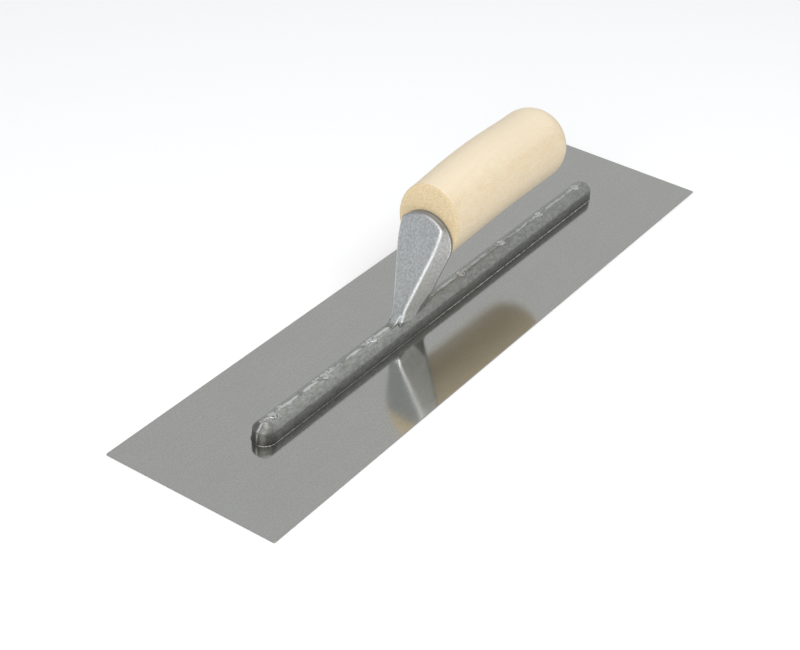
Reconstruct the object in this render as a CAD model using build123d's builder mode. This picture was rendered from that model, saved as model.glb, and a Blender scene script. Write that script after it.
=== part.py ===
"""Steel finishing trowel: a flat blade, a riveted mounting bar, a shank and a shaped wooden handle.

Millimetres. +X runs from the toe to the heel, +Z is up, and the origin is the centre of the blade's
underside, the face that works the plaster or concrete.
"""

import os
from math import cos, radians, sin, tan

from build123d import *

# Blade: a 16 inch sheet of spring steel in the 4 inch class.
BLADE_LENGTH = 406.4
BLADE_WIDTH = 98.4
BLADE_THICKNESS = 0.7
BLADE_CORNER_RADIUS = 0.6

# Mounting bar: a rib with steep walls, a pitched and slightly crowned top, and bullet ends.
# Places on its half section are (half width, Z).
BAR_LENGTH = 311.6
BAR_CENTRE_X = 1.3
BAR_BASE_HALF_WIDTH = 6.4
BAR_SHOULDER = (5.9, 7.3)
BAR_ROOF_MIDDLE = (3.6, 9.8)
BAR_RIDGE_HALF_WIDTH = 0.9
BAR_RIDGE_Z = 11.4
BAR_SHOULDER_RADIUS = 1.4
BAR_RIDGE_RADIUS = 2.0

# Countersunk rivets in one row along the bar, and the shank's screw in the gap of the row.
RIVET_PITCH = 40.7
RIVET_STEPS = (-3.5, -2.5, -1.5, 0.5, 1.5, 2.5, 3.5)
RIVET_DIAMETER = 4.8
RIVET_HEAD_DIAMETER = 8.0
RIVET_PROUD = 0.25
SCREW_X = -25.0
SCREW_DIAMETER = 4.8
SCREW_HEAD_DIAMETER = 8.6
SCREW_TOP_Z = 24.0

# Handle: shaped wood, oval at its front face and round from the dome on. Each section is
# (station from the front face, half width, half height, height of its centre).
HANDLE_FRONT_X = -17.1
HANDLE_SECTIONS = (
    (0.0, 18.1, 21.4, 59.8),
    (20.0, 18.9, 21.1, 61.5),
    (40.0, 19.6, 21.0, 63.2),
    (62.0, 20.1, 20.6, 64.1),
    (97.0, 20.3, 20.3, 64.2),
)
FRONT_EDGE_RADIUS = 0.8
DOME_LENGTH = 17.5
DOME_CROWN_RADIUS = 37.0
DOME_SHOULDER_RADIUS = 15.0

# Shank: a casting with an arched flange against the handle. Its front face leans towards the toe.
# Places on its outlines are (half width, Z).
FLANGE_THICKNESS = 2.0
FLANGE_RADIUS = 15.7
FLANGE_CENTRE_Z = 50.7
FLANK_FULLNESS = 0.15
SHOULDER_ANGLE = 44.0
HIP_ANGLE = -17.0
ANKLE = (3.3, 12.5)
BODY_INSET = 0.3
LEAN = 19.5
FRONT_CREST = (0.0, 66.4)
FRONT_SHOULDER = (12.4, 62.0)
FRONT_SIDE = (11.5, 54.0)
FRONT_HIP = (10.1, 46.0)
FRONT_ANKLE = (4.0, 18.0)
CREST_X = -21.9
FOOT_Z = 4.0
SHANK_EDGE_RADIUS = 0.8
WEB_HALF_WIDTH = 2.2
TOE_WEB_TOP_Z = 17.5
HEEL_WEB_TOP_Z = 18.5
SPUR_Z = 52.0
SPUR_DIAMETER = 4.0
SPUR_LENGTH = 5.0

# Fixings: a rod screwed into the shank runs through the handle to a nut sunk in its rear end.
ROD_DIAMETER = 6.0
ROD_Z = 61.0
ROD_ENGAGEMENT = 4.5
BORE_DIAMETER = 6.4
COUNTERBORE_DIAMETER = 14.0
COUNTERBORE_X = 87.0
WASHER_DIAMETER = 13.0
WASHER_THICKNESS = 1.2
NUT_WIDTH = 10.0
NUT_THICKNESS = 5.0
ROD_PAST_NUT = 1.0
END_CHAMFER = 0.5

FLANGE_FRONT_X = HANDLE_FRONT_X - FLANGE_THICKNESS
DOME_STATION, DOME_RADIUS, _, DOME_Z = HANDLE_SECTIONS[-1]
DOME_X = HANDLE_FRONT_X + DOME_STATION
HANDLE_END_X = DOME_X + DOME_LENGTH
WASHER_END_X = COUNTERBORE_X + WASHER_THICKNESS
NUT_END_X = WASHER_END_X + NUT_THICKNESS
STANDING = (Align.CENTER, Align.CENTER, Align.MIN)


def bar_half_section(foot_z, rise):
    """Half of the bar's section, on the positive side of its middle, with its top raised by the rise."""
    shoulder, roof_middle = ((half_width, z + rise) for half_width, z in (BAR_SHOULDER, BAR_ROOF_MIDDLE))
    ridge_z = BAR_RIDGE_Z + rise
    ridge_edge = (BAR_RIDGE_HALF_WIDTH, ridge_z)
    with BuildSketch() as section:
        with BuildLine():
            Polyline((0, ridge_z), (0, foot_z), (BAR_BASE_HALF_WIDTH, foot_z), shoulder)
            ThreePointArc(shoulder, roof_middle, ridge_edge)
            Line(ridge_edge, (0, ridge_z))
        make_face()
        for corner, radius in ((shoulder, BAR_SHOULDER_RADIUS), (ridge_edge, BAR_RIDGE_RADIUS)):
            fillet(section.vertices().sort_by_distance((*corner, 0))[0], radius)
    return section.sketch


def bar_body(foot_z, rise=0):
    """The whole rib from that foot up: a straight length, and an end turned about each end's centre."""
    half_section = bar_half_section(foot_z, rise)
    straight_length = BAR_LENGTH - 2 * BAR_BASE_HALF_WIDTH
    start_x = BAR_CENTRE_X - straight_length / 2
    with BuildPart() as body:
        with BuildSketch(Plane.YZ.offset(start_x)):
            add(half_section)
            mirror(about=Plane.YZ)
        extrude(amount=straight_length)
        for x in (start_x, start_x + straight_length):
            with BuildSketch(Plane(origin=(x, 0, 0), x_dir=(1, 0, 0), z_dir=(0, -1, 0))):
                add(half_section)
            revolve(axis=Axis((x, 0, 0), (0, 0, 1)))
    return body.part


def countersunk_body(x, diameter, head_diameter, top_z):
    """A 90 degree countersunk head flush with the blade's underside, and its stem up to top_z."""
    with BuildPart() as body:
        with Locations((x, 0, 0)):
            Cylinder(diameter / 2, top_z, align=STANDING)
            Cone(head_diameter / 2, diameter / 2, (head_diameter - diameter) / 2, align=STANDING)
    return body.part


def round_along_x(start_x, end_x, z, diameter, mode=Mode.ADD):
    """A round bar along X at that height, joined to the part being made or cut from it."""
    with Locations((start_x, 0, z)):
        Cylinder(diameter / 2, end_x - start_x, rotation=(0, 90, 0), align=STANDING, mode=mode)


def arched_outline(crown, shoulder, side, hip, ankle, foot):
    """A tombstone outline, symmetric about its middle, from places on its positive half."""
    with BuildSketch() as outline:
        with BuildLine():
            left, right = (
                [(sign * half_width, height) for half_width, height in (shoulder, side, hip, ankle, foot)]
                for sign in (-1, 1)
            )
            ThreePointArc(left[0], crown, right[0])
            for flank in (left, right):
                ThreePointArc(*flank[:3])
                Polyline(*flank[2:])
            Line(left[-1], right[-1])
        make_face()
    return outline.sketch


def on_circle(radius, angle):
    """A place on the flange's circle."""
    return radius * cos(radians(angle)), FLANGE_CENTRE_Z + radius * sin(radians(angle))


def flange_outline(radius):
    """The arch that the shank makes against the handle, with full flanks, narrowing to its ankle."""
    crown, shoulder, hip = (on_circle(radius, angle) for angle in (90, SHOULDER_ANGLE, HIP_ANGLE))
    side = on_circle(radius + FLANK_FULLNESS, (SHOULDER_ANGLE + HIP_ANGLE) / 2)
    return arched_outline(crown, shoulder, side, hip, ANKLE, (ANKLE[0], FOOT_Z))


def front_outline():
    """The shank's front face, with heights measured along its lean from FOOT_Z."""
    places = (FRONT_CREST, FRONT_SHOULDER, FRONT_SIDE, FRONT_HIP, FRONT_ANKLE, (FRONT_ANKLE[0], FOOT_Z))
    return arched_outline(*((half_width, (z - FOOT_Z) / cos(radians(LEAN))) for half_width, z in places))


def front_x(z):
    """Where the leaning front face is at that height."""
    return CREST_X - (FRONT_CREST[1] - z) * tan(radians(LEAN))


rivet_bodies = [
    countersunk_body(step * RIVET_PITCH, RIVET_DIAMETER, RIVET_HEAD_DIAMETER, 2 * BAR_RIDGE_Z)
    for step in RIVET_STEPS
]
screw_body = countersunk_body(SCREW_X, SCREW_DIAMETER, SCREW_HEAD_DIAMETER, SCREW_TOP_Z)
whole_bar = bar_body(BLADE_THICKNESS)
rivet_envelope = bar_body(0, RIVET_PROUD)

with BuildPart() as blade:
    with BuildSketch():
        RectangleRounded(BLADE_LENGTH, BLADE_WIDTH, BLADE_CORNER_RADIUS)
    extrude(amount=BLADE_THICKNESS)
    add([*rivet_bodies, screw_body], mode=Mode.SUBTRACT)

with BuildPart() as mounting_bar:
    add(whole_bar)
    add([*rivet_bodies, screw_body], mode=Mode.SUBTRACT)

# The rivets' upset tails follow the ridge and stand a little proud of it.
rivets = []
for rivet_body in rivet_bodies:
    with BuildPart() as rivet:
        add(rivet_body)
        add(rivet_envelope, mode=Mode.INTERSECT)
    rivets.append(rivet)

with BuildPart() as shank_screw:
    add(screw_body)
    chamfer(edges().group_by(Axis.Z)[-1], END_CHAMFER)

with BuildPart() as shank:
    # Body: ruled from the flange's outline to the smaller one on the leaning front plane.
    with BuildSketch(Plane.YZ.offset(FLANGE_FRONT_X)):
        add(flange_outline(FLANGE_RADIUS - BODY_INSET))
    front_plane = Plane(
        origin=(front_x(FOOT_Z), 0, FOOT_Z),
        x_dir=(0, 1, 0),
        z_dir=(cos(radians(LEAN)), 0, -sin(radians(LEAN))),
    )
    with BuildSketch(front_plane):
        add(front_outline())
    loft(ruled=True)
    front_edges = faces().sort_by(Axis(front_plane.origin, -front_plane.z_dir))[-1].edges()
    fillet(front_edges.sort_by(Axis.Z)[1:], SHANK_EDGE_RADIUS)
    # Flange: the thin rim that the handle's face sits on.
    with BuildSketch(Plane.YZ.offset(FLANGE_FRONT_X)):
        add(flange_outline(FLANGE_RADIUS))
    extrude(amount=FLANGE_THICKNESS)
    # Webs: hollow curves from the ridge up to the front face and to the back of the flange.
    with BuildSketch(Plane.XZ):
        with BuildLine():
            toe_top = (front_x(TOE_WEB_TOP_Z), TOE_WEB_TOP_Z)
            toe_run = (TOE_WEB_TOP_Z - BAR_RIDGE_Z) / tan(radians(90 - LEAN) / 2)
            toe_end = (toe_top[0] - toe_run, BAR_RIDGE_Z)
            heel_top = (HANDLE_FRONT_X, HEEL_WEB_TOP_Z)
            heel_end = (HANDLE_FRONT_X + HEEL_WEB_TOP_Z - BAR_RIDGE_Z, BAR_RIDGE_Z)
            TangentArc(toe_end, toe_top, tangent=(1, 0))
            Line(toe_top, heel_top)
            TangentArc(heel_end, heel_top, tangent=(-1, 0))
            Polyline(heel_end, (heel_end[0], FOOT_Z), (toe_end[0], FOOT_Z), toe_end)
        make_face()
    extrude(amount=WEB_HALF_WIDTH, both=True)
    add(whole_bar, mode=Mode.SUBTRACT)
    add(screw_body, mode=Mode.SUBTRACT)
    # A spur keeps the handle from turning, and the rod screws in above it.
    round_along_x(HANDLE_FRONT_X, HANDLE_FRONT_X + SPUR_LENGTH, SPUR_Z, SPUR_DIAMETER)
    round_along_x(HANDLE_FRONT_X - ROD_ENGAGEMENT, HANDLE_FRONT_X, ROD_Z, ROD_DIAMETER, Mode.SUBTRACT)

with BuildPart() as handle:
    for station, half_width, half_height, centre_z in HANDLE_SECTIONS:
        with BuildSketch(Plane.YZ.offset(HANDLE_FRONT_X + station)):
            with Locations((0, centre_z)):
                Ellipse(half_width, half_height)
    loft()
    fillet(faces().sort_by(Axis.X)[0].edges(), FRONT_EDGE_RADIUS)
    # Dome: a shallow crown with a round shoulder, turned about the rear section's centre.
    with BuildSketch(Plane(origin=(DOME_X, 0, DOME_Z), x_dir=(1, 0, 0), z_dir=(0, -1, 0))) as dome:
        with Locations((DOME_LENGTH - DOME_CROWN_RADIUS, 0)):
            Circle(DOME_CROWN_RADIUS)
        Rectangle(DOME_LENGTH, DOME_RADIUS, align=(Align.MIN, Align.MIN), mode=Mode.INTERSECT)
        shoulder = dome.vertices().group_by(Axis.Y)[-1].sort_by(Axis.X)[-1]
        fillet(shoulder, DOME_SHOULDER_RADIUS)
    revolve(axis=Axis((0, 0, DOME_Z), (1, 0, 0)))
    round_along_x(HANDLE_FRONT_X, HANDLE_END_X, ROD_Z, BORE_DIAMETER, Mode.SUBTRACT)
    round_along_x(COUNTERBORE_X, HANDLE_END_X, ROD_Z, COUNTERBORE_DIAMETER, Mode.SUBTRACT)
    round_along_x(HANDLE_FRONT_X, HANDLE_FRONT_X + SPUR_LENGTH, SPUR_Z, SPUR_DIAMETER, Mode.SUBTRACT)

with BuildPart() as handle_rod:
    round_along_x(HANDLE_FRONT_X - ROD_ENGAGEMENT, NUT_END_X + ROD_PAST_NUT, ROD_Z, ROD_DIAMETER)
    chamfer(edges().group_by(Axis.X)[-1], END_CHAMFER)

with BuildPart() as washer:
    round_along_x(COUNTERBORE_X, WASHER_END_X, ROD_Z, WASHER_DIAMETER)
    round_along_x(COUNTERBORE_X, WASHER_END_X, ROD_Z, BORE_DIAMETER, Mode.SUBTRACT)

with BuildPart() as handle_nut:
    with BuildSketch(Plane.YZ.offset(WASHER_END_X)):
        with Locations((0, ROD_Z)):
            RegularPolygon(NUT_WIDTH / 2, 6, major_radius=False)
            Circle(ROD_DIAMETER / 2, mode=Mode.SUBTRACT)
    extrude(amount=NUT_THICKNESS)

pieces = {
    "blade": blade,
    "mounting_bar": mounting_bar,
    "shank": shank,
    "shank_screw": shank_screw,
    "handle": handle,
    "handle_rod": handle_rod,
    "washer": washer,
    "handle_nut": handle_nut,
}
pieces.update({f"rivet_{number}": rivet for number, rivet in enumerate(rivets, start=1)})

os.makedirs("parts", exist_ok=True)
for name, piece in pieces.items():
    piece.part.label = name
    export_step(piece.part, f"parts/{name}.step")
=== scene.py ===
"""Looks of the steel finishing trowel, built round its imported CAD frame.

Metres, in the CAD's own frame: +X runs from the toe to the heel, +Z is up, the blade's underside lies at
z = 0, and the near side is -Y. Every piece takes its place from the frame's nodes.
"""

import math
import random

import bmesh
import bpy
import numpy as np
from mathutils import Matrix, Vector, noise


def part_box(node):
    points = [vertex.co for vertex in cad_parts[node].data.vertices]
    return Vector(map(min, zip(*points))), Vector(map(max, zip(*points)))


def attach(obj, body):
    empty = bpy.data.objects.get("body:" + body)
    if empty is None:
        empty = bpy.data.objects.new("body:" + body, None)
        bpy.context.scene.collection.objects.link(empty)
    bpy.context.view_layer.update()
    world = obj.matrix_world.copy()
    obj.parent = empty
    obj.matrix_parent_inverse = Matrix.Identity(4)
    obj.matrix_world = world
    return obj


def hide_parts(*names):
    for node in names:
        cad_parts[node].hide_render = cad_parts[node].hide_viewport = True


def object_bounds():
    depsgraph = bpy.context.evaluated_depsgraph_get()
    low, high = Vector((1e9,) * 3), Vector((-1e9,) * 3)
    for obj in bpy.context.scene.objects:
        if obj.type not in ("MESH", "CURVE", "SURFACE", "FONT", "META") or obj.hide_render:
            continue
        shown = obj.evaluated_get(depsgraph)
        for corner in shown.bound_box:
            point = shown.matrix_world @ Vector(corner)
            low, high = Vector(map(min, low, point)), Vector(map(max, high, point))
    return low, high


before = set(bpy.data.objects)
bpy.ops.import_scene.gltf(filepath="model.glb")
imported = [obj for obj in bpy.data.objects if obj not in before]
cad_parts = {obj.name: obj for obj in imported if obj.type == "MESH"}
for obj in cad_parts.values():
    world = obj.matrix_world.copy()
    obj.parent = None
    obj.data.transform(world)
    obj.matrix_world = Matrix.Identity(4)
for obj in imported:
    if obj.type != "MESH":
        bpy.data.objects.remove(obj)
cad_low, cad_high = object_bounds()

MM = 0.001

# Camera: seen from above the near side of the toe, a little rolled.
CAMERA_TARGET = Vector((-65.1, -37.0, 30.0)) * MM
CAMERA_DISTANCE = 0.8555
CAMERA_AZIMUTH = -59.03
CAMERA_ELEVATION = 34.42
CAMERA_ROLL = 5.1
CAMERA_LENS = 79.15
CAMERA_SHIFT = (-0.0399, 0.0176)
CAMERA_CLIP = (0.01, 50.0)

# Studio: white paper, an even pale surround and two soft boxes.
SURROUND_COLOUR = (0.97, 0.985, 1.0, 1.0)
SURROUND_STRENGTH = 0.62
FLOOR_SIZE = 6.0
FLOOR_DROP = 0.2 * MM
# Each soft box: name, azimuth, elevation, distance, width, height, power.
SOFT_BOXES = (
    ("key_box", -20, 70, 1.6, 1.2, 1.2, 14.5),
    ("toe_box", -72, 26, 1.5, 0.9, 0.7, 6.0),
)

# Faces: the size of a regrained copy's faces, and the angle in degrees past which an edge stays crisp.
BAR_VOXEL = 0.3 * MM
SHANK_VOXEL = 0.28 * MM
HANDLE_VOXEL = 0.6 * MM
RIVET_VOXEL = 0.2 * MM
CRISP_ANGLE = 30
BLADE_CRISP_ANGLE = 10
BEAD_CRISP_ANGLE = 50

# Grain of the surfaces: layers of (depth, size of the lumps).
BAR_GRAIN = ((0.05 * MM, 3.5 * MM), (0.05 * MM, 0.9 * MM))
SHANK_GRAIN = ((0.06 * MM, 7 * MM), (0.015 * MM, 1.2 * MM))
HANDLE_GRAIN = ((0.12 * MM, 11 * MM),)
HANDLE_GRAIN_STRETCH = (0.4, 1, 1)
RIVET_GRAIN = ((0.06 * MM, 0.7 * MM),)
GRAIN_OCTAVES = 2

# Blade: how much its cut edges are broken.
BLADE_EDGE_BREAK = 0.1 * MM

# Rivets, and the dents that hammering them left on the bar. Each pair is a range in millimetres.
RIVET_COUNT = 7
BLOWS_PER_RIVET = 5
BLOW_LEVEL = (-0.25, 0.02)
BLOW_STEEPNESS = 4.0
DEEPEST_BLOW = 0.22 * MM
DENTS_PER_RIVET = 22
DENT_REACH = 8.0 * MM
DENT_ACROSS = (-1.4, 2.4)
DENT_RADIUS = (0.3, 0.65)
DENT_DEPTH = (0.08, 0.24)

# Bar: its toe nose, and heights as depths below the ridge.
NOSE_LENGTH = 9.0 * MM
NOSE_BLEND = 4 * MM
CREASE_HALF_WIDTH = 0.6 * MM
# The first band darkens the walls towards the foot as painted shade.
FOOT_SHADE_BAND = (10 * MM, 4.4 * MM)
EAVES_BAND = (5.4 * MM, 2.9 * MM)
# The ridge's band of rubbed metal and painted highlight.
RUBBED_HIGHLIGHT_BAND = (0.10 * MM, 0.03 * MM)

# The foot bead: its section, out and up in millimetres at full swell, and how bright its painted highlight is
# at distances in millimetres from the bar's toe end.
BEAD_SECTION = ((-0.5, 0.0), (0.42, 0.0), (0.40, 0.16), (0.28, 0.34), (0.05, 0.48), (-0.3, 0.52), (-0.5, 0.5))
BEAD_SWELL = (0.5, 0.3)
BEAD_HIGHLIGHT = ((19.5, 0.3), (32.5, 0.2), (124.5, 0.2), (154.5, 0.7))

# Shank: rounds of softening, how sharp an edge must be to get its wear and painted highlight, and where the
# web and the foot lie.
FLANGE_THICKNESS = 2.0 * MM
SHANK_LEAN = 19.5
EDGE_SOFTENING = 14
SHARPNESS_ROUNDS = 40
SHARP_EDGE = 0.15 * MM
SHARPNESS_IGNORED = 0.30
WEB_HALF_WIDTH = 2.8 * MM
WEB_TOP = 7 * MM
CROWN_BAND = (30 * MM, 36 * MM)
FOOT_SETBACK = 10 * MM
FOOT_REACH = 11 * MM

# Handle: the pith that its growth rings lie about, the rings' width and how far they sway.
PITH = Vector((0.0, 46.0, 34.0)) * MM
RING_WIDTH = 2.3 * MM
RING_SWAY = 4 * MM

# Parts of a noise's range: nearly all of it, and its middle, which gives more contrast.
BROAD = (0.3, 0.7)
TIGHT = (0.35, 0.65)

# Colours. A pair goes from the first to the second with a noise.
GROUND_STEEL = ((0.555, 0.555, 0.522), (0.62, 0.62, 0.587))
SMEARED_STEEL = (0.52, 0.52, 0.495)
DUSTY_STEEL = (0.47, 0.47, 0.443)
SHEARED_STEEL = (0.30, 0.295, 0.285)

# Bar colours by height, foot to roof: darker downwards as painted shade.
BAR_FOOT = ((0.09, 0.091, 0.085), (0.21, 0.212, 0.20))
BAR_WALL = ((0.205, 0.207, 0.195), (0.44, 0.444, 0.42))
BAR_ROOF = ((0.23, 0.233, 0.218), (0.48, 0.485, 0.455))
# The ridge: rubbed metal, lighter still as a painted highlight.
BAR_RIDGE = (0.86, 0.865, 0.86)
# Scuffs, and painted highlights on the dents' rims, the nose's crease and the foot bead.
BAR_SCUFF_AND_HIGHLIGHT = (0.92, 0.92, 0.90)
# Pits, and painted shade in the dents and on the toe nose.
BAR_PIT_AND_SHADE = (0.08, 0.075, 0.07)

SHANK_FRONT = ((0.51, 0.53, 0.535), (0.58, 0.60, 0.605))
SHANK_SPECK = (0.37, 0.38, 0.385)
SHANK_FLANK = ((0.615, 0.61, 0.595), (0.465, 0.46, 0.45))
SHANK_CROWN = (0.33, 0.34, 0.35)
# Worn edges, and a painted highlight on them.
SHANK_EDGE = (0.95, 0.955, 0.96)
# As-cast metal, also standing as painted shade round the foot.
SHANK_AS_CAST_AND_SHADE = ((0.20, 0.202, 0.195), (0.36, 0.362, 0.35))

RIVET_BRIGHT = ((0.55, 0.55, 0.54), (0.82, 0.82, 0.81))
RIVET_PIT = (0.12, 0.11, 0.10)
ZINC_BLOOM = ((0.60, 0.60, 0.57), (0.62, 0.65, 0.70))
ZINC_SPECK = (0.42, 0.42, 0.41)

WOOD_PALE = ((0.695, 0.585, 0.415), (0.735, 0.635, 0.465))
WOOD_RING = (0.66, 0.49, 0.29)
WOOD_FIBRE = (0.64, 0.48, 0.29)
WOOD_FLECK = (0.56, 0.39, 0.21)
WOOD_GRIT = (0.60, 0.45, 0.27)
# Painted light on the handle's top.
WOOD_TOP = (0.81, 0.71, 0.54)
# Painted shade on the handle's underside.
WOOD_UNDERSIDE = (0.44, 0.41, 0.345)
END_GRAIN = ((0.66, 0.50, 0.28), (0.85, 0.71, 0.47))
END_RING = (0.62, 0.46, 0.24)
END_RIM = (0.56, 0.41, 0.22)

PAPER = ((0.90, 0.90, 0.90), (0.94, 0.94, 0.94))

MATERIALS = {}


# ---------------------------------------------------------------- places


def ridge_height():
    """The height of the bar's ridge."""
    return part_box("mounting_bar")[1].z


def flange_front():
    """Where the shank's flange begins along X."""
    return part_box("handle")[0].x - FLANGE_THICKNESS


def rivet_places():
    """The middle of each rivet's tail."""
    tails = []
    for number in range(1, RIVET_COUNT + 1):
        low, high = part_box(f"rivet_{number}")
        tails.append(Vector(((low.x + high.x) / 2, (low.y + high.y) / 2, high.z)))
    return tails


# ---------------------------------------------------------------- mesh helpers


def linked(name, data):
    """A new object in the scene with that data."""
    made = bpy.data.objects.new(name, data)
    bpy.context.scene.collection.objects.link(made)
    return made


def new_piece(name, mesh, slot, node=None):
    """An object with that mesh, riding on the root body, in place of a node and kept inside its box."""
    if node:
        move_to(mesh, np.clip(places_of(mesh), *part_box(node)))
    piece = linked(name, mesh)
    mesh.materials.clear()
    mesh.materials.append(MATERIALS[slot])
    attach(piece, "root")
    if node:
        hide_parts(node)


def welded_copy(node):
    """A copy of a CAD node's mesh with its doubled vertices joined."""
    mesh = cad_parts[node].data.copy()
    shape = bmesh.new()
    shape.from_mesh(mesh)
    bmesh.ops.remove_doubles(shape, verts=shape.verts, dist=1e-7)
    shape.to_mesh(mesh)
    shape.free()
    return mesh


def applied(mesh, modifiers):
    """The mesh after modifiers, each given as (type, settings)."""
    carrier = linked("carrier", mesh)
    for number, (kind, settings) in enumerate(modifiers):
        modifier = carrier.modifiers.new(f"step_{number}", kind)
        for key, value in settings.items():
            setattr(modifier, key, value)
    graph = bpy.context.evaluated_depsgraph_get()
    result = bpy.data.meshes.new_from_object(carrier.evaluated_get(graph), depsgraph=graph)
    bpy.data.objects.remove(carrier)
    return result


def regrained(node, voxel, smoothing):
    """A CAD node's mesh with an even grain of faces and softened edges."""
    return applied(
        welded_copy(node),
        [
            ("REMESH", {"mode": "VOXEL", "voxel_size": voxel, "use_smooth_shade": True}),
            ("SMOOTH", {"factor": 0.5, "iterations": smoothing}),
        ],
    )


def places_of(mesh):
    """The places of the mesh's vertices, one row each."""
    places = np.empty(len(mesh.vertices) * 3)
    mesh.vertices.foreach_get("co", places)
    return places.reshape(-1, 3)


def normals_of(mesh):
    """The normals of the mesh's vertices, one row each."""
    normals = np.empty(len(mesh.vertices) * 3)
    mesh.vertices.foreach_get("normal", normals)
    return normals.reshape(-1, 3)


def move_to(mesh, places):
    """Moves the mesh's vertices to those places."""
    mesh.vertices.foreach_set("co", places.ravel())
    mesh.update()


def relaxed(mesh, rounds, weights=1.0):
    """The vertices' places after rounds of averaging with their neighbours, each to its own weight."""
    ends = np.empty(len(mesh.edges) * 2, dtype=int)
    mesh.edges.foreach_get("vertices", ends)
    first, second = ends.reshape(-1, 2).T
    count = len(mesh.vertices)
    neighbours = np.bincount(ends, minlength=count)[:, None]
    places = places_of(mesh)
    steps = 0.6 * np.broadcast_to(weights, count)[:, None]
    for _ in range(rounds):
        total = np.empty_like(places)
        for axis in range(3):
            total[:, axis] = np.bincount(first, places[second, axis], count)
            total[:, axis] += np.bincount(second, places[first, axis], count)
        places = places + steps * (total / neighbours - places)
    return places


def paint(mesh, name, values):
    """Stores a number from 0 to 1 on every vertex, for the materials to read."""
    mesh.attributes.new(name, "FLOAT", "POINT").data.foreach_set("value", np.clip(values, 0, 1))


def sink(mesh, depths):
    """Moves every vertex inwards along its normal by its own depth."""
    move_to(mesh, places_of(mesh) - normals_of(mesh) * depths[:, None])


def grained(places, layers):
    """How deep the grain lies at each place, for layers of (depth, size of the lumps)."""
    depths = np.zeros(len(places))
    for depth, size in layers:
        lumps = [noise.fractal(Vector(place), 1.0, 2.0, GRAIN_OCTAVES) for place in places / size]
        depths += depth * np.clip(0.5 + 0.5 * np.array(lumps), 0, 1)
    return depths


def smooth_by_angle(mesh, limit=CRISP_ANGLE):
    """Smooth shading, with edges sharper than the limit kept crisp."""
    shape = bmesh.new()
    shape.from_mesh(mesh)
    for face in shape.faces:
        face.smooth = True
    for edge in shape.edges:
        edge.smooth = edge.calc_face_angle(0) < math.radians(limit)
    shape.to_mesh(mesh)
    shape.free()
    return mesh


def skinned(name, loops, closed):
    """A mesh skinned over loops of places: joined last to first if closed, otherwise capped at both ends."""
    mesh = bpy.data.meshes.new(name)
    shape = bmesh.new()
    grid = [[shape.verts.new(place) for place in loop] for loop in loops]
    if not closed:
        shape.faces.new(grid[0])
        shape.faces.new(grid[-1])
    followers = grid[1:] + grid[:1] if closed else grid[1:]
    for near, far in zip(grid, followers):
        for step in range(len(near)):
            after = (step + 1) % len(near)
            shape.faces.new((near[step], near[after], far[after], far[step]))
    bmesh.ops.recalc_face_normals(shape, faces=shape.faces)
    shape.to_mesh(mesh)
    shape.free()
    return mesh


def turned(name, rings, axis_z, closed):
    """A mesh of rings round an X axis at that height. Each ring is a list of (x, radius) by angle."""
    loops = []
    for ring in rings:
        loop = []
        for step, (x, radius) in enumerate(ring):
            angle = 2 * math.pi * step / len(ring)
            loop.append((x, radius * math.cos(angle), axis_z + radius * math.sin(angle)))
        loops.append(loop)
    return smooth_by_angle(skinned(name, loops, closed))


# ---------------------------------------------------------------- material helpers


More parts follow.
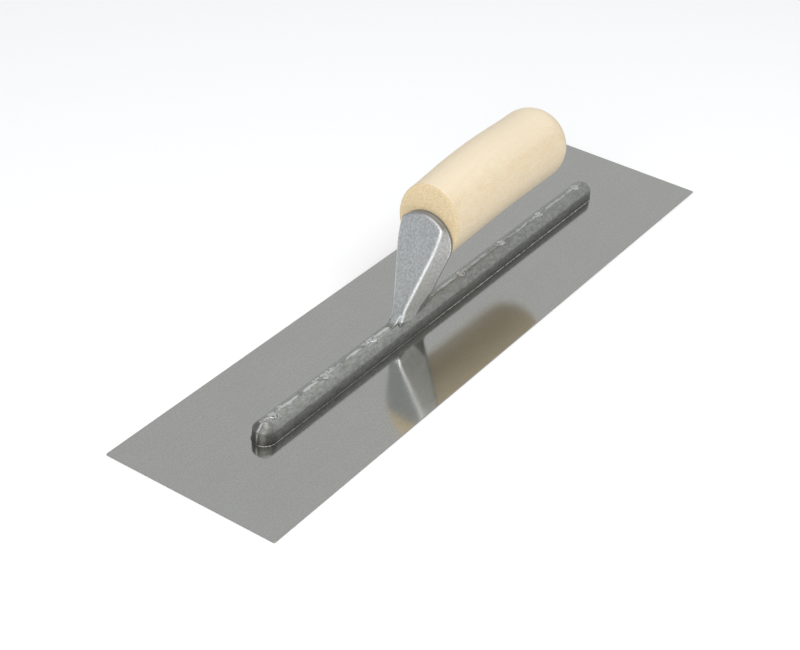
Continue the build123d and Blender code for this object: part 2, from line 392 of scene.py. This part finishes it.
class Finish:
    """A node material in the making. Its textures are laid out in the row frame."""

    def __init__(self, slot):
        self.material = bpy.data.materials.new(slot)
        self.material.use_nodes = True
        self.tree = self.material.node_tree
        self.surface = self.tree.nodes["Principled BSDF"]
        self.place = self.node("ShaderNodeTexCoord").outputs["Object"]
        MATERIALS[slot] = self.material

    def node(self, kind, **settings):
        made = self.tree.nodes.new(kind)
        for key, value in settings.items():
            setattr(made, key, value)
        return made

    def feed(self, socket, value):
        """Links an output to the socket, or sets the socket to a plain value."""
        if isinstance(value, bpy.types.NodeSocket):
            self.tree.links.new(value, socket)
        else:
            socket.default_value = value

    def set(self, **values):
        """Feeds the shader's sockets, named with underscores for spaces."""
        for key, value in values.items():
            self.feed(self.surface.inputs[key.replace("_", " ")], value)

    def math(self, operation, a, b=0.0):
        made = self.node("ShaderNodeMath", operation=operation)
        self.feed(made.inputs[0], a)
        self.feed(made.inputs[1], b)
        return made.outputs[0]

    def plus(self, a, b):
        return self.math("ADD", a, b)

    def minus(self, a, b):
        return self.math("SUBTRACT", a, b)

    def times(self, a, b):
        return self.math("MULTIPLY", a, b)

    def larger(self, a, b):
        return self.math("MAXIMUM", a, b)

    def squared(self, value):
        return self.math("POWER", value, 2.0)

    def mixed(self, a, b, share):
        """The share of a, and b for the rest."""
        return self.plus(self.times(a, share), self.times(b, 1 - share))

    def span(self, value, low, high, out_low=0.0, out_high=1.0, smooth=False):
        """The value's range low to high, mapped to out_low to out_high and held there."""
        made = self.node("ShaderNodeMapRange", interpolation_type="SMOOTHSTEP" if smooth else "LINEAR")
        for index, number in enumerate((value, low, high, out_low, out_high)):
            self.feed(made.inputs[index], number)
        return made.outputs["Result"]

    def rising(self, height, top, band, out_high=1.0):
        """0 up to out_high, as the height passes through a band given as two depths below the top."""
        return self.span(height, top - band[0], top - band[1], 0.0, out_high)

    def colour(self, factor, first, second):
        """A colour that goes from first to second with the factor."""
        made = self.node("ShaderNodeMix", data_type="RGBA")
        self.feed(made.inputs["Factor"], factor)
        for name, value in (("A", first), ("B", second)):
            socket = next(s for s in made.inputs if s.name == name and s.type == "RGBA")
            self.feed(socket, (*value, 1.0) if isinstance(value, tuple) else value)
        return next(s for s in made.outputs if s.type == "RGBA")

    def noise(self, size, detail=3, turn=(0, 0, 0), shift=0.0, roughness=0.55):
        """Noise with lumps of that size along X, Y and Z, in millimetres, after a turn in degrees."""
        mapping = self.node("ShaderNodeMapping", vector_type="TEXTURE")
        self.feed(mapping.inputs["Vector"], self.place)
        mapping.inputs["Rotation"].default_value = [math.radians(angle) for angle in turn]
        mapping.inputs["Scale"].default_value = [length * MM for length in size]
        mapping.inputs["Location"].default_value = (shift * MM, 0, 0)
        made = self.node("ShaderNodeTexNoise")
        self.feed(made.inputs["Vector"], mapping.outputs["Vector"])
        made.inputs["Scale"].default_value = 1.0
        made.inputs["Detail"].default_value = detail
        made.inputs["Roughness"].default_value = roughness
        return made.outputs["Fac"]

    def even_noise(self, size, **settings):
        """Noise with lumps of one size, in millimetres, along every axis."""
        return self.noise((size, size, size), **settings)

    def part(self, vector, letter):
        split = self.node("ShaderNodeSeparateXYZ")
        self.feed(split.inputs[0], vector)
        return split.outputs[letter]

    def along(self, letter):
        """The place along an axis of the row frame."""
        return self.part(self.place, letter)

    def facing(self, letter):
        """The true surface normal's part along an axis of the row frame."""
        return self.part(self.node("ShaderNodeNewGeometry").outputs["True Normal"], letter)

    def facing_either(self, letter):
        """How far the true surface normal lies along an axis, either way."""
        return self.math("ABSOLUTE", self.facing(letter))

    def painted(self, name):
        """A number stored on the mesh's vertices."""
        return self.node("ShaderNodeAttribute", attribute_name=name).outputs["Fac"]

    def relief(self, height, depth, strength):
        """Bump of that depth in millimetres."""
        bump = self.node("ShaderNodeBump")
        bump.inputs["Strength"].default_value = strength
        bump.inputs["Distance"].default_value = depth * MM
        self.feed(bump.inputs["Height"], height)
        self.feed(self.surface.inputs["Normal"], bump.outputs["Normal"])


# ---------------------------------------------------------------- materials


def make_blade_steel():
    """Spring steel, ground lengthwise, with faint smears and a darker sheared edge."""
    finish = Finish("blade_steel")
    fine = finish.noise((60, 0.12, 4), detail=4)
    streaks = finish.noise((140, 0.9, 4))
    cloud = finish.noise((38, 26, 10))
    dust = finish.noise((0.8, 0.8, 4), detail=2)
    marks = finish.mixed(fine, streaks, 0.6)
    ground = finish.colour(finish.span(marks, *BROAD), *GROUND_STEEL)
    clouded = finish.colour(finish.span(cloud, 0.35, 0.7, 0.0, 0.3), ground, SMEARED_STEEL)
    dusted = finish.colour(finish.span(dust, *TIGHT, 0.0, 0.65), clouded, DUSTY_STEEL)
    flat = finish.span(finish.facing_either("Z"), 0.5, 0.9)
    haze = finish.span(cloud, *BROAD, 0.0, 0.03)
    finish.set(
        Base_Color=finish.colour(flat, SHEARED_STEEL, dusted),
        Metallic=1.0,
        Roughness=finish.plus(finish.span(marks, *BROAD, 0.085, 0.125), haze),
    )
    finish.relief(marks, 0.004, 0.3)


def make_cast_alloy():
    """Cast alloy: walls with painted shade darkening to the foot, a duller roof, a rubbed ridge with a
    painted highlight, and scuffs and pits, with painted highlights and shade, where painted.
    """
    finish = Finish("cast_alloy")
    ridge_z = ridge_height()
    speck = finish.even_noise(0.5, detail=4, roughness=0.7)
    blotch = finish.noise((9, 4, 4), detail=4)
    mottle = finish.noise((3.0, 1.6, 1.6), detail=4, shift=7)
    drag = finish.noise((14, 0.5, 0.5))
    grit = finish.span(finish.mixed(speck, mottle, 0.6), 0.36, 0.64)

    wander = finish.span(blotch, *BROAD, -0.5 * MM, 0.5 * MM)
    height = finish.plus(finish.along("Z"), wander)
    # Painted shade: darker from the roof down to the foot.
    foot, wall, roof = (finish.colour(grit, *pair) for pair in (BAR_FOOT, BAR_WALL, BAR_ROOF))
    climbing = finish.colour(finish.rising(height, ridge_z, FOOT_SHADE_BAND), foot, wall)
    body = finish.colour(finish.rising(height, ridge_z, EAVES_BAND), climbing, roof)

    # A rubbed ridge with a painted highlight, fainter towards the heel.
    crest = finish.plus(finish.along("Z"), finish.times(wander, 0.25))
    less_to_heel = finish.span(finish.along("X"), -20 * MM, 20 * MM, 1.0, 0.6)
    rubbed_and_highlit = finish.times(finish.rising(crest, ridge_z, RUBBED_HIGHLIGHT_BAND, 0.9), less_to_heel)
    ridged = finish.colour(rubbed_and_highlit, body, BAR_RIDGE)
    broken = finish.span(finish.noise((0.9, 0.6, 0.6), shift=13), 0.42, 0.53)
    # Scuffs with painted highlights, then pits with painted shade, as painted on the mesh.
    scuffs_and_highlight = finish.colour(finish.times(finish.painted("scuffs_and_highlight"), broken), ridged, BAR_SCUFF_AND_HIGHLIGHT)
    finish.set(
        Base_Color=finish.colour(finish.painted("pits_and_shade"), scuffs_and_highlight, BAR_PIT_AND_SHADE),
        Metallic=1.0,
        Roughness=finish.plus(finish.span(speck, *BROAD, 0.36, 0.52), finish.times(rubbed_and_highlit, -0.2)),
    )
    finish.relief(finish.plus(speck, finish.times(drag, 0.5)), 0.05, 0.6)


def as_cast_and_shade(finish, speck):
    """1 on the flange's rim and under a ragged line round the foot that climbs to the heel, else 0. The mark
    is as-cast metal, and also painted shade, most where it climbs on the heel side.
    """
    rim_x = flange_front()
    foot_x = rim_x - FOOT_SETBACK
    wander = finish.span(speck, *BROAD, -0.25 * MM, 0.25 * MM)
    place_x = finish.plus(finish.along("X"), wander)
    place_z = finish.plus(finish.along("Z"), wander)
    behind = finish.span(place_x, rim_x, rim_x + 0.3 * MM)
    from_middle = finish.span(place_x, foot_x - FOOT_REACH, foot_x + FOOT_REACH, -1.0, 1.0)
    heelward = finish.span(place_x, foot_x - 2 * MM, foot_x + 9 * MM)
    hollow = finish.times(finish.squared(from_middle), 2.9 * MM)
    climb = finish.times(finish.squared(heelward), 9 * MM)
    above_foot = finish.minus(place_z, ridge_height() - 2.4 * MM)
    above_line = finish.minus(above_foot, finish.plus(hollow, climb))
    return finish.larger(behind, finish.span(above_line, 0.0, 0.6 * MM, 1.0, 0.0))


def make_ground_alloy():
    """Alloy ground bright, with worn edges lightened further as a painted highlight, and a darker as-cast
    finish, partly painted shade, on the flange's rim and round its foot.
    """
    finish = Finish("ground_alloy")
    lean = (0, SHANK_LEAN, 0)
    scratches = finish.noise((0.16, 0.16, 12), detail=4, turn=lean)
    broad = finish.noise((1.8, 1.8, 26), turn=lean, shift=5)
    speck = finish.even_noise(0.6, detail=4, roughness=0.7)
    grit = finish.span(finish.noise((1.1, 1.1, 1.3), shift=2), *TIGHT)
    marks = finish.mixed(scratches, broad, 0.65)

    front = finish.colour(finish.span(marks, *BROAD), *SHANK_FRONT)
    speckled = finish.colour(finish.times(grit, 0.9), front, SHANK_SPECK)
    flank = finish.span(finish.facing_either("Y"), 0.5, 0.85)
    dressed = finish.colour(flank, speckled, finish.colour(grit, *SHANK_FLANK))
    high_up = finish.span(finish.along("Z"), *(ridge_height() + height for height in CROWN_BAND))
    crown = finish.times(finish.span(finish.facing("Z"), 0.4, 0.7), high_up)
    crowned = finish.colour(crown, dressed, SHANK_CROWN)
    # Worn edges with a painted highlight, strongest on the near side.
    rubbed_and_highlit = finish.times(finish.painted("edge"), finish.span(grit, 0.0, 1.0, 1.0, 0.7))
    worn_and_highlit = finish.colour(rubbed_and_highlit, crowned, SHANK_EDGE)
    # As-cast metal, also painted shade round the foot and up its heel side.
    cast_and_shade_colour = finish.colour(finish.span(speck, *TIGHT), *SHANK_AS_CAST_AND_SHADE)
    cast_and_shade = as_cast_and_shade(finish, speck)

    softer = finish.times(finish.larger(flank, crown), 0.26)
    gloss = finish.times(finish.painted("edge"), -0.16)
    rough = finish.plus(finish.span(marks, *BROAD, 0.40, 0.48), finish.plus(softer, gloss))
    finish.set(
        Base_Color=finish.colour(cast_and_shade, worn_and_highlit, cast_and_shade_colour),
        Metallic=1.0,
        Roughness=finish.plus(rough, finish.times(cast_and_shade, 0.1)),
    )
    pitting = finish.times(finish.times(speck, cast_and_shade), 3.0)
    finish.relief(finish.plus(marks, pitting), 0.02, 0.5)


def make_rivet_steel():
    """Bright soft steel, hammered and scuffed, with dark pits."""
    finish = Finish("rivet_steel")
    speck = finish.even_noise(0.35, detail=4, roughness=0.75)
    pits = finish.span(finish.even_noise(0.9, shift=3), 0.36, 0.44)
    bright = finish.colour(finish.span(speck, *TIGHT), *RIVET_BRIGHT)
    finish.set(
        Base_Color=finish.colour(pits, RIVET_PIT, bright),
        Metallic=1.0,
        Roughness=finish.span(speck, *BROAD, 0.2, 0.42),
    )
    finish.relief(speck, 0.04, 0.7)


def make_fixing_steel():
    """Zinc-plated steel with a faint warm and cool bloom."""
    finish = Finish("fixing_steel")
    bloom = finish.even_noise(3.0)
    speck = finish.even_noise(0.3, detail=4, roughness=0.7)
    plated = finish.colour(finish.span(bloom, *TIGHT), *ZINC_BLOOM)
    finish.set(
        Base_Color=finish.colour(finish.span(speck, 0.3, 0.5), ZINC_SPECK, plated),
        Metallic=1.0,
        Roughness=finish.span(speck, *BROAD, 0.24, 0.38),
    )
    finish.relief(speck, 0.02, 0.4)


def late_wood(finish):
    """Up to 1 in the late wood of growth rings that run along X about the pith, else 0."""
    offset = finish.node("ShaderNodeVectorMath", operation="SUBTRACT")
    finish.feed(offset.inputs[0], finish.place)
    offset.inputs[1].default_value = PITH
    across_y, across_z = (finish.squared(finish.part(offset.outputs[0], letter)) for letter in "YZ")
    reach = finish.math("SQRT", finish.plus(across_y, across_z))
    sway = finish.span(finish.noise((70, 9, 9), detail=2), 0.0, 1.0, -RING_SWAY, RING_SWAY)
    rings = finish.math("FRACT", finish.times(finish.plus(reach, sway), 1 / RING_WIDTH))
    return finish.span(rings, 0.55, 1.0, smooth=True)


def wood_side(finish, late, fibre):
    """The wood round the handle: mottled, ringed, fibrous and flecked, palest on top as painted light and
    with painted shade below.
    """
    mottle = finish.noise((6, 3, 3), shift=4)
    fleck = finish.noise((2.6, 0.4, 0.4), detail=2, shift=11)
    grit = finish.noise((1.4, 1.0, 1.0), detail=2, shift=9)
    tone = finish.colour(finish.span(mottle, *BROAD), *WOOD_PALE)
    tone = finish.colour(finish.times(late, 0.22), tone, WOOD_RING)
    tone = finish.colour(finish.span(fibre, 0.42, 0.75, 0.0, 0.28), tone, WOOD_FIBRE)
    tone = finish.colour(finish.span(fleck, 0.62, 0.72, 0.0, 0.25), tone, WOOD_FLECK)
    tone = finish.colour(finish.span(grit, *TIGHT, 0.0, 0.36), tone, WOOD_GRIT)
    # Painted light on top, then painted shade underneath.
    tone = finish.colour(finish.span(finish.facing("Z"), 0.6, 0.97, 0.0, 0.55), tone, WOOD_TOP)
    return finish.colour(finish.span(finish.facing("Z"), -0.9, 0.0, 0.45, 0.0), tone, WOOD_UNDERSIDE)


def make_handle_wood():
    """Pale close-grained wood with golden end grain and a browner rim round it."""
    finish = Finish("handle_wood")
    late = late_wood(finish)
    fibre = finish.noise((14, 0.28, 0.28))
    pores = finish.even_noise(0.8, detail=4, roughness=0.7)
    end = finish.colour(finish.span(pores, *TIGHT), *END_GRAIN)
    end = finish.colour(finish.times(late, 0.08), end, END_RING)
    endward = finish.facing_either("X")
    cut = finish.span(endward, 0.5, 0.85)
    rim = finish.times(finish.span(endward, 0.3, 0.6), finish.span(endward, 0.80, 0.98, 0.7, 0.0))
    whole = finish.colour(cut, wood_side(finish, late, fibre), end)
    finish.set(
        Base_Color=finish.colour(rim, whole, END_RIM),
        Roughness=finish.plus(finish.span(fibre, *BROAD, 0.46, 0.56), finish.times(cut, 0.12)),
        Specular_IOR_Level=0.4,
    )
    finish.relief(finish.plus(fibre, finish.times(pores, cut)), 0.03, 0.35)


def make_floor_paper():
    """Matt white studio paper."""
    finish = Finish("floor_paper")
    tooth = finish.even_noise(1.5)
    finish.set(
        Base_Color=finish.colour(tooth, *PAPER),
        Roughness=finish.span(tooth, 0.0, 1.0, 0.85, 0.95),
        Specular_IOR_Level=0.1,
    )
    finish.relief(tooth, 0.02, 0.2)


# ---------------------------------------------------------------- pieces


def build_blade():
    """The sheet, with its cut edges broken by a hair."""
    merged = {"decimate_type": "DISSOLVE", "angle_limit": math.radians(0.5)}
    broken = {
        "width": BLADE_EDGE_BREAK,
        "segments": 2,
        "limit_method": "ANGLE",
        "angle_limit": math.radians(60),
    }
    mesh = applied(welded_copy("blade"), [("DECIMATE", merged), ("BEVEL", broken)])
    new_piece("blade_sheet", smooth_by_angle(mesh, BLADE_CRISP_ANGLE), "blade_steel", "blade")


def scattered_dents():
    """Hammer dents on the ridge round each rivet: a centre, a radius and a depth each."""
    chance = random.Random(11)
    dents = []
    for tail in rivet_places():
        for _ in range(DENTS_PER_RIVET):
            along = chance.uniform(-1, 1) * DENT_REACH
            across = chance.uniform(*DENT_ACROSS) * MM
            radius = chance.uniform(*DENT_RADIUS) * MM
            depth = chance.uniform(*DENT_DEPTH) * MM
            dents.append((np.array(tail)[:2] + (along, across), radius, depth))
    return dents


def dented(places, upward):
    """What the dents do at each place: how deep they are, how dark their pits and painted shade, and how
    bright their scuffs and painted highlights.
    """
    depths, pits_and_shade, scuffs_and_highlight = (np.zeros(len(places)) for _ in range(3))
    heelward = np.clip(0.5 + places[:, 0] / (40 * MM), 0, 1)
    # Painted highlight: the scuffs are lighter towards the far side and the toe.
    shine = (1 - 0.6 * heelward) * np.clip(0.55 + places[:, 1] / (3 * MM), 0.2, 1)
    for centre, radius, deep in scattered_dents():
        reach = np.linalg.norm(places[:, :2] - centre, axis=1) / radius
        near = np.clip(1 - reach, 0, 1)
        round_rim = np.clip(1.7 - abs(reach - 1.0) / 0.6, 0, 1)
        depths += deep * near * near * (3 - 2 * near) * upward
        # Dark pits in the dents' middles, partly painted shade.
        pits_and_shade = np.maximum(pits_and_shade, np.clip((1.8 + heelward) * near - 0.9, 0, 1) * upward)
        scuffs_and_highlight = np.maximum(scuffs_and_highlight, round_rim * shine * upward)
    return depths, pits_and_shade, scuffs_and_highlight


def nose_marks(places, pits_and_shade, scuffs_and_highlight):
    """Adds the toe nose's crease, a painted highlight, to the scuffs, and painted shade on its foot and far
    side to the pits.
    """
    nose = np.clip((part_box("mounting_bar")[0].x + NOSE_LENGTH - places[:, 0]) / NOSE_BLEND, 0, 1)
    height = places[:, 2] - places[:, 2].min()
    middle = np.clip(1.5 - abs(places[:, 1]) / CREASE_HALF_WIDTH, 0, 1)
    # Painted highlight down the middle of the nose.
    crease_highlight = middle * np.clip(0.25 + height / (6 * MM), 0, 1)
    scuffs_and_highlight = np.maximum(scuffs_and_highlight, nose * crease_highlight)
    # Painted shade, low on the nose and on its far side.
    foot_shade = np.maximum(0.85 - height / (12 * MM), 0.58)
    far_side_shade = np.clip(places[:, 1] / (1.2 * MM) - 0.5, 0.0, 0.65)
    nose_shade = nose * np.maximum(foot_shade, far_side_shade) * (1 - 0.6 * np.clip(scuffs_and_highlight, 0, 1))
    return np.maximum(pits_and_shade, nose_shade), scuffs_and_highlight


def build_bar():
    """The cast rib, with its grain and the dents left by riveting."""
    mesh = regrained("mounting_bar", BAR_VOXEL, 4)
    places = places_of(mesh)
    depths, pits_and_shade, scuffs_and_highlight = dented(places, np.clip(normals_of(mesh)[:, 2], 0, 1))
    pits_and_shade, scuffs_and_highlight = nose_marks(places, pits_and_shade, scuffs_and_highlight)
    paint(mesh, "pits_and_shade", pits_and_shade)
    paint(mesh, "scuffs_and_highlight", scuffs_and_highlight)
    sink(mesh, depths + grained(places, BAR_GRAIN))
    new_piece("rib", mesh, "cast_alloy", "mounting_bar")


def bar_outline():
    """Places round the bar's foot, each as x, y and the way out: near side, heel end, far side, toe end."""
    low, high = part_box("mounting_bar")
    half_width = (high.y - low.y) / 2
    toe, heel = low.x + half_width, high.x - half_width
    straight = np.linspace(toe, heel, 280)
    turn = [(math.cos(angle), math.sin(angle)) for angle in np.linspace(-math.pi / 2, math.pi / 2, 24)[1:-1]]
    outline = [(x, 0.0, -1.0) for x in straight]
    outline += [(heel, out_x, out_y) for out_x, out_y in turn]
    outline += [(x, 0.0, 1.0) for x in straight[::-1]]
    outline += [(toe, -out_x, -out_y) for out_x, out_y in turn]
    return [(x + half_width * out_x, half_width * out_y, out_x, out_y) for x, out_x, out_y in outline]


def build_foot_bead():
    """A thin bead of metal squeezed out along the rib's foot, with a painted highlight on its near side."""
    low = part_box("mounting_bar")[0]
    usual, change = BEAD_SWELL
    loops = []
    for x, y, out_x, out_y in bar_outline():
        swell = (usual + change * noise.noise(Vector((x, y, 0)) / (6 * MM))) * MM
        loops.append([
            (x + out_x * reach * swell, y + out_y * reach * swell, low.z + rise * swell)
            for reach, rise in BEAD_SECTION
        ])
    mesh = skinned("foot_bead", loops, closed=True)
    places = places_of(mesh)
    # Painted highlight along the bead, on the near side only.
    near_side = np.clip(0.3 - places[:, 1] / (3 * MM), 0.2, 1)
    paint(mesh, "scuffs_and_highlight", near_side * np.interp((places[:, 0] - low.x) / MM, *zip(*BEAD_HIGHLIGHT)))
    new_piece("foot_bead", smooth_by_angle(mesh, BEAD_CRISP_ANGLE), "cast_alloy")


def hammer_blows(chance):
    """The facets that blows leave on a rivet's tail, each as a slope and a level above the tail."""
    blows = []
    for _ in range(BLOWS_PER_RIVET):
        slope = Vector((chance.uniform(-1, 1), chance.uniform(-1, 1), BLOW_STEEPNESS)).normalized()
        blows.append((np.array(slope), chance.uniform(*BLOW_LEVEL) * MM))
    return blows


def build_rivets():
    """Seven rivets, each tail hammered down its own way."""
    for number, tail in enumerate(rivet_places(), start=1):
        mesh = regrained(f"rivet_{number}", RIVET_VOXEL, 3)
        places = places_of(mesh)
        cut = np.zeros(len(places))
        for slope, level in hammer_blows(random.Random(number)):
            cut = np.maximum(cut, (places - np.array(tail)) @ slope - level)
        hammered = np.clip(cut, 0, DEEPEST_BLOW) + grained(places, RIVET_GRAIN)
        sink(mesh, np.where(normals_of(mesh)[:, 2] > 0.3, hammered, 0))
        new_piece(f"rivet_body_{number}", mesh, "rivet_steel", f"rivet_{number}")


def edge_wear_and_highlight(places):
    """How rubbed each place on the shank is, with its painted highlight: most on the near side, little on the
    crest, not on the web.
    """
    crest_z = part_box("shank")[1].z
    on_web = (abs(places[:, 1]) < WEB_HALF_WIDTH) & (places[:, 2] < ridge_height() + WEB_TOP)
    # Painted highlight: strongest on the near side.
    wear_and_highlight = np.clip(0.6 - places[:, 1] / (6 * MM), 0.2, 1) * ~on_web
    return wear_and_highlight * np.interp(places[:, 2], (crest_z - 7 * MM, crest_z - 4 * MM), (1, 0.35))


def build_shank():
    """The shank's casting, hand ground, with softened edges that are rubbed bright and given a painted
    highlight.
    """
    mesh = regrained("shank", SHANK_VOXEL, 5)
    places = places_of(mesh)
    in_front = np.clip((flange_front() - places[:, 0]) / (1.5 * MM), 0, 1)
    above_foot = np.clip((places[:, 2] - ridge_height() - 1 * MM) / (2 * MM), 0, 1)
    move_to(mesh, relaxed(mesh, EDGE_SOFTENING, in_front * above_foot))
    sink(mesh, grained(places_of(mesh), SHANK_GRAIN))
    sharpness = np.sum(normals_of(mesh) * (places_of(mesh) - relaxed(mesh, SHARPNESS_ROUNDS)), axis=1)
    # Wear and painted highlight on the sharp edges.
    paint(mesh, "edge", edge_wear_and_highlight(places) * (sharpness / SHARP_EDGE - SHARPNESS_IGNORED))
    new_piece("shank_casting", mesh, "ground_alloy", "shank")


def build_handle():
    """The turned handle, sanded by hand, so not quite true."""
    mesh = regrained("handle", HANDLE_VOXEL, 3)
    sink(mesh, grained(places_of(mesh) * HANDLE_GRAIN_STRETCH, HANDLE_GRAIN))
    new_piece("grip", mesh, "handle_wood", "handle")


def build_screw():
    """The shank's screw, with a cross recess in its head under the blade."""
    low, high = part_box("shank_screw")
    middle = (low + high) / 2
    recess_length = 4.6 * MM
    recess_width = 0.9 * MM
    recess_depth = 2.0 * MM
    stretch = Matrix.Diagonal((recess_length, recess_width, 2 * recess_depth, 1.0))
    recess = bpy.data.meshes.new("recess")
    shape = bmesh.new()
    for turn in (0, 90):
        bar = bmesh.ops.create_cube(shape, size=1.0)
        place = Matrix.Translation((middle.x, middle.y, low.z)) @ Matrix.Rotation(math.radians(turn), 4, "Z")
        bmesh.ops.transform(shape, matrix=place @ stretch, verts=bar["verts"])
    shape.to_mesh(recess)
    shape.free()
    cutter = linked("cutter", recess)
    cut_out = {"operation": "DIFFERENCE", "object": cutter, "solver": "EXACT", "use_self": True}
    mesh = applied(welded_copy("shank_screw"), [("BOOLEAN", cut_out)])
    bpy.data.objects.remove(cutter)
    new_piece("screw_body", smooth_by_angle(mesh), "fixing_steel", "shank_screw")


def build_rod():
    """The handle's rod, threaded and chamfered at its rear end."""
    low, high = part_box("handle_rod")
    radius = (high.y - low.y) / 2
    axis_z = (low.z + high.z) / 2
    pitch = 1.0 * MM
    thread_depth = 0.55 * MM
    thread_start = high.x - 12 * MM
    end_radius = radius - 0.7 * MM
    core_radius = radius - 0.9 * MM
    chamfer_slope = 0.9
    steps = 48
    stations = [low.x, low.x + 0.4 * MM, *np.arange(thread_start, high.x, pitch / 8), high.x]
    rings = []
    for x in stations:
        ring = []
        for step in range(steps):
            turn = ((x - thread_start) / pitch - step / steps) % 1.0
            groove = thread_depth * (1 - abs(2 * turn - 1)) if x > thread_start else 0.0
            chamfer = end_radius + (high.x - x) * chamfer_slope
            ring.append((x, max(min(radius - groove, chamfer), core_radius)))
        rings.append(ring)
    new_piece("rod", turned("rod", rings, axis_z, closed=False), "fixing_steel", "handle_rod")


def build_nut():
    """A hexagon nut whose corners are chamfered to a circle on both faces."""
    low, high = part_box("handle_nut")
    rod_low, rod_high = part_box("handle_rod")
    half_flats = min(high.y - low.y, high.z - low.z) / 2
    first_turn = 0 if high.y - low.y < high.z - low.z else 30
    bore = (rod_high.y - rod_low.y) / 2 - 0.1 * MM
    face_radius = half_flats * 0.96
    chamfer_slope = math.tan(math.radians(30))
    steps = 144
    columns = []
    for step in range(steps):
        angle = 360 * step / steps + first_turn
        side = half_flats / math.cos(math.radians((angle + 30) % 60 - 30))
        drop = (side - face_radius) * chamfer_slope
        columns.append((
            (low.x, bore),
            (low.x, face_radius),
            (low.x + drop, side),
            (high.x - drop, side),
            (high.x, face_radius),
            (high.x, bore),
        ))
    mesh = turned("nut", list(zip(*columns)), (low.z + high.z) / 2, closed=True)
    new_piece("nut", mesh, "fixing_steel", "handle_nut")


def build_washer():
    """A stamped washer: one edge rolled over, the other crisp."""
    low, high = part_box("washer")
    rod_low, rod_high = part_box("handle_rod")
    outer = (high.y - low.y) / 2
    inner = (rod_high.y - rod_low.y) / 2 + 0.2 * MM
    crisp = 0.05 * MM
    roll = 0.3 * MM
    part_roll = roll * 0.3
    steps = 96
    section = (
        (low.x, inner),
        (low.x, outer - crisp),
        (low.x + crisp, outer),
        (high.x - roll, outer),
        (high.x - part_roll, outer - part_roll),
        (high.x, outer - roll),
        (high.x, inner + roll),
        (high.x - part_roll, inner + part_roll),
        (high.x - roll, inner),
    )
    mesh = turned("washer", [[point] * steps for point in section], (low.z + high.z) / 2, closed=True)
    new_piece("washer_disc", mesh, "fixing_steel", "washer")


# ---------------------------------------------------------------- studio


def direction(azimuth, elevation):
    """From the object towards that place: azimuth 0 is on the -Y side, 90 on the +X side."""
    a, e = math.radians(azimuth), math.radians(elevation)
    return Vector((math.sin(a) * math.cos(e), -math.cos(a) * math.cos(e), math.sin(e)))


def build_floor():
    """A square of paper, a hair below the blade."""
    mesh = bpy.data.meshes.new("floor")
    half = FLOOR_SIZE / 2
    corners = [(-half, -half), (half, -half), (half, half), (-half, half)]
    mesh.from_pydata([(x, y, -FLOOR_DROP) for x, y in corners], [], [(0, 1, 2, 3)])
    mesh.materials.append(MATERIALS["floor_paper"])
    floor = linked("floor", mesh)


def build_surround():
    """An even pale world."""
    world = bpy.data.worlds.new("surround")
    world.use_nodes = True
    background = world.node_tree.nodes["Background"]
    background.inputs["Color"].default_value = SURROUND_COLOUR
    background.inputs["Strength"].default_value = SURROUND_STRENGTH
    bpy.context.scene.world = world


def build_soft_boxes():
    """Rectangular lamps that face the object's middle."""
    centre = (cad_low + cad_high) / 2
    for name, azimuth, elevation, distance, width, height, power in SOFT_BOXES:
        lamp = bpy.data.lights.new(name, "AREA")
        lamp.shape = "RECTANGLE"
        lamp.size, lamp.size_y = width, height
        lamp.energy = power
        box = linked(name, lamp)
        away = direction(azimuth, elevation)
        box.location = centre + away * distance
        box.rotation_mode = "QUATERNION"
        box.rotation_quaternion = (-away).to_track_quat("-Z", "Y")


def build_camera():
    """The camera, with everything in focus."""
    data = bpy.data.cameras.new("camera")
    data.lens = CAMERA_LENS
    data.shift_x, data.shift_y = CAMERA_SHIFT
    data.clip_start, data.clip_end = CAMERA_CLIP
    camera = linked("camera", data)
    away = direction(CAMERA_AZIMUTH, CAMERA_ELEVATION)
    facing = (-away).to_track_quat("-Z", "Y").to_matrix().to_4x4()
    roll = Matrix.Rotation(math.radians(CAMERA_ROLL), 4, "Z")
    camera.matrix_world = Matrix.Translation(CAMERA_TARGET + away * CAMERA_DISTANCE) @ facing @ roll
    bpy.context.scene.camera = camera


# ---------------------------------------------------------------- the scene

for make in (
    make_blade_steel,
    make_cast_alloy,
    make_ground_alloy,
    make_rivet_steel,
    make_fixing_steel,
    make_handle_wood,
    make_floor_paper,
):
    make()

for build in (
    build_blade,
    build_bar,
    build_foot_bead,
    build_rivets,
    build_shank,
    build_handle,
    build_screw,
    build_rod,
    build_nut,
    build_washer,
    build_floor,
    build_surround,
    build_soft_boxes,
    build_camera,
):
    build()

bpy.context.scene.view_settings.view_transform = "Standard"
